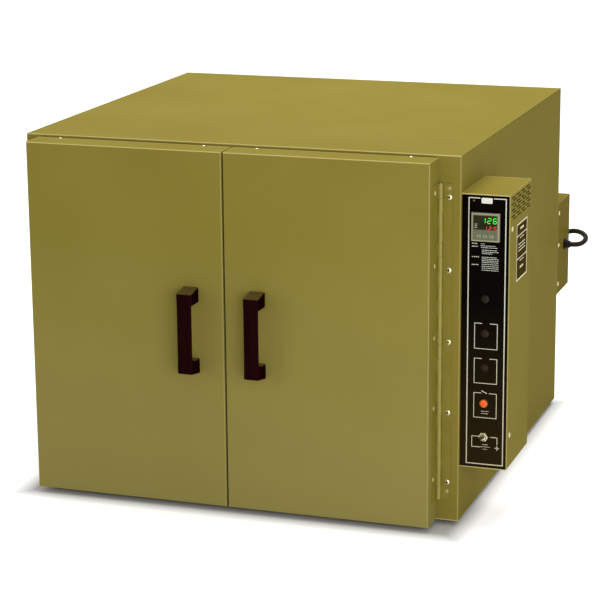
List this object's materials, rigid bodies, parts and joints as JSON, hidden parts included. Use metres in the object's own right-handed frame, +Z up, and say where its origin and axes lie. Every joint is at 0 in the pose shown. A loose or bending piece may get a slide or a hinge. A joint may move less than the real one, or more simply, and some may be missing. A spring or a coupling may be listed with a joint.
{
  "type": "forced air oven",
  "caption": "Insulated bench oven with hinged double doors, rear blower, wire shelves and a narrow side control box.",
  "frame": {"origin": "on the floor, under the middle of the oven's box without its cord", "axes": "+X to the oven's right as seen from its front, +Y to the rear, +Z up"},
  "size_m": [0.8738, 1.012, 0.645],
  "materials": {
    "casing_paint": "satin olive tan enamel",
    "liner_steel": "mill finish stainless sheet",
    "duct_steel": "aluminised steel sheet",
    "mineral_wool": "fibrous board",
    "heater_sheath": "oxidised sheath",
    "motor_paint": "black enamel",
    "bright_steel": "turned and zinc plated",
    "shelf_wire": "bright plated wire",
    "foot_rubber": "moulded black",
    "handle_plastic": "dark brown phenolic",
    "gasket_rubber": "woven fibre and silicone seal",
    "seam_strip": "dark seal strip",
    "hinge_paint": "painted over hinge steel",
    "screw_nickel": "nickel plated heads",
    "magnet": "cased magnet bars",
    "panel_black": "matt black with pale printed lines",
    "bezel_plastic": "grey moulding",
    "window_plastic": "dark display window",
    "key_rubber": "grey keypad",
    "plug_plastic": "black hole plugs",
    "lamp_lens": "orange lens",
    "cord_rubber": "black jacket",
    "grip_plastic": "black moulding"
  },
  "bodies": {
    "cabinet": {"side_panel_left": "casing_paint", "side_panel_right": "casing_paint", "top_cover": "casing_paint", "base_pan": "casing_paint", "back_panel": "casing_paint", "front_frame": "casing_paint", "feet": "foot_rubber", "chamber_liner": "liner_steel", "insulation_slabs": "mineral_wool", "duct_panel_left": "duct_steel", "duct_panel_right": "duct_steel", "rear_baffle": "duct_steel", "heater_element": "heater_sheath", "blower_motor": "motor_paint", "temperature_probe": "bright_steel", "shelf_runners": "liner_steel", "left_hinge_frame_leaf": "hinge_paint", "left_hinge_pin": "bright_steel", "right_hinge_frame_leaf": "hinge_paint", "right_hinge_pin": "bright_steel", "hinge_screws": "screw_nickel", "catch_magnets": "magnet", "control_box_cover": "casing_paint", "control_panel": "panel_black", "controller_case": "bezel_plastic", "controller_window": "window_plastic", "panel_plugs": "plug_plastic", "pilot_bezel": "bright_steel", "pilot_lens": "lamp_lens", "toggle_switch_body": "bright_steel", "rear_cover": "casing_paint", "cover_screws": "screw_nickel", "vent_tube": "bright_steel", "cord_grip": "grip_plastic", "power_cord": "cord_rubber", "cord_coil": "cord_rubber", "plug": "cord_rubber"},
    "left_door": {"left_door_skin": "casing_paint", "left_door_liner": "liner_steel", "left_door_insulation": "mineral_wool", "left_door_gasket": "gasket_rubber", "left_door_handle": "handle_plastic", "seam_seal": "seam_strip", "left_hinge_door_leaf": "hinge_paint"},
    "right_door": {"right_door_skin": "casing_paint", "right_door_liner": "liner_steel", "right_door_insulation": "mineral_wool", "right_door_gasket": "gasket_rubber", "right_door_handle": "handle_plastic", "right_hinge_door_leaf": "hinge_paint"},
    "blower": {"blower_wheel": "duct_steel", "motor_shaft": "bright_steel"},
    "lower_shelf": {"shelf_lower": "shelf_wire"},
    "upper_shelf": {"shelf_upper": "shelf_wire"},
    "power_toggle": {"toggle_lever": "screw_nickel"},
    "vent_damper": {"vent_disc": "bright_steel"},
    "up_key": {"key_1": "key_rubber"},
    "down_key": {"key_2": "key_rubber"},
    "set_key": {"key_3": "key_rubber"}
  },
  "joints": [
    {"name": "left_door_swing", "type": "hinge", "parent": "cabinet", "child": "left_door", "pos_m": [-0.41635, -0.3966, 0.32], "axis": [0, 0, 1], "range_deg": [-105, 0]},
    {"name": "right_door_swing", "type": "hinge", "parent": "cabinet", "child": "right_door", "pos_m": [0.31835, -0.3966, 0.32], "axis": [0, 0, 1], "range_deg": [0, 95]},
    {"name": "blower_spin", "type": "hinge", "parent": "cabinet", "child": "blower", "pos_m": [-0.04125, 0.2678, 0.32], "axis": [0, 1, 0], "continuous": true},
    {"name": "lower_shelf_slide", "type": "slide", "parent": "cabinet", "child": "lower_shelf", "axis": [0, -1, 0], "range_m": [0, 0.045]},
    {"name": "upper_shelf_slide", "type": "slide", "parent": "cabinet", "child": "upper_shelf", "axis": [0, -1, 0], "range_m": [0, 0.045]},
    {"name": "power_toggle_tilt", "type": "hinge", "parent": "cabinet", "child": "power_toggle", "pos_m": [0.3937, -0.3882, 0.1634], "axis": [1, 0, 0], "range_deg": [0, 24]},
    {"name": "vent_damper_turn", "type": "hinge", "parent": "cabinet", "child": "vent_damper", "pos_m": [0.17505, 0.3731, 0.51], "axis": [0, 1, 0], "range_deg": [0, 60]},
    {"name": "up_key_press", "type": "slide", "parent": "cabinet", "child": "up_key", "axis": [0, 1, 0], "range_m": [0, 0.0008], "stiffness_N_per_m": 400},
    {"name": "down_key_press", "type": "slide", "parent": "cabinet", "child": "down_key", "axis": [0, 1, 0], "range_m": [0, 0.0008], "stiffness_N_per_m": 400},
    {"name": "set_key_press", "type": "slide", "parent": "cabinet", "child": "set_key", "axis": [0, 1, 0], "range_m": [0, 0.0008], "stiffness_N_per_m": 400}
  ]
}
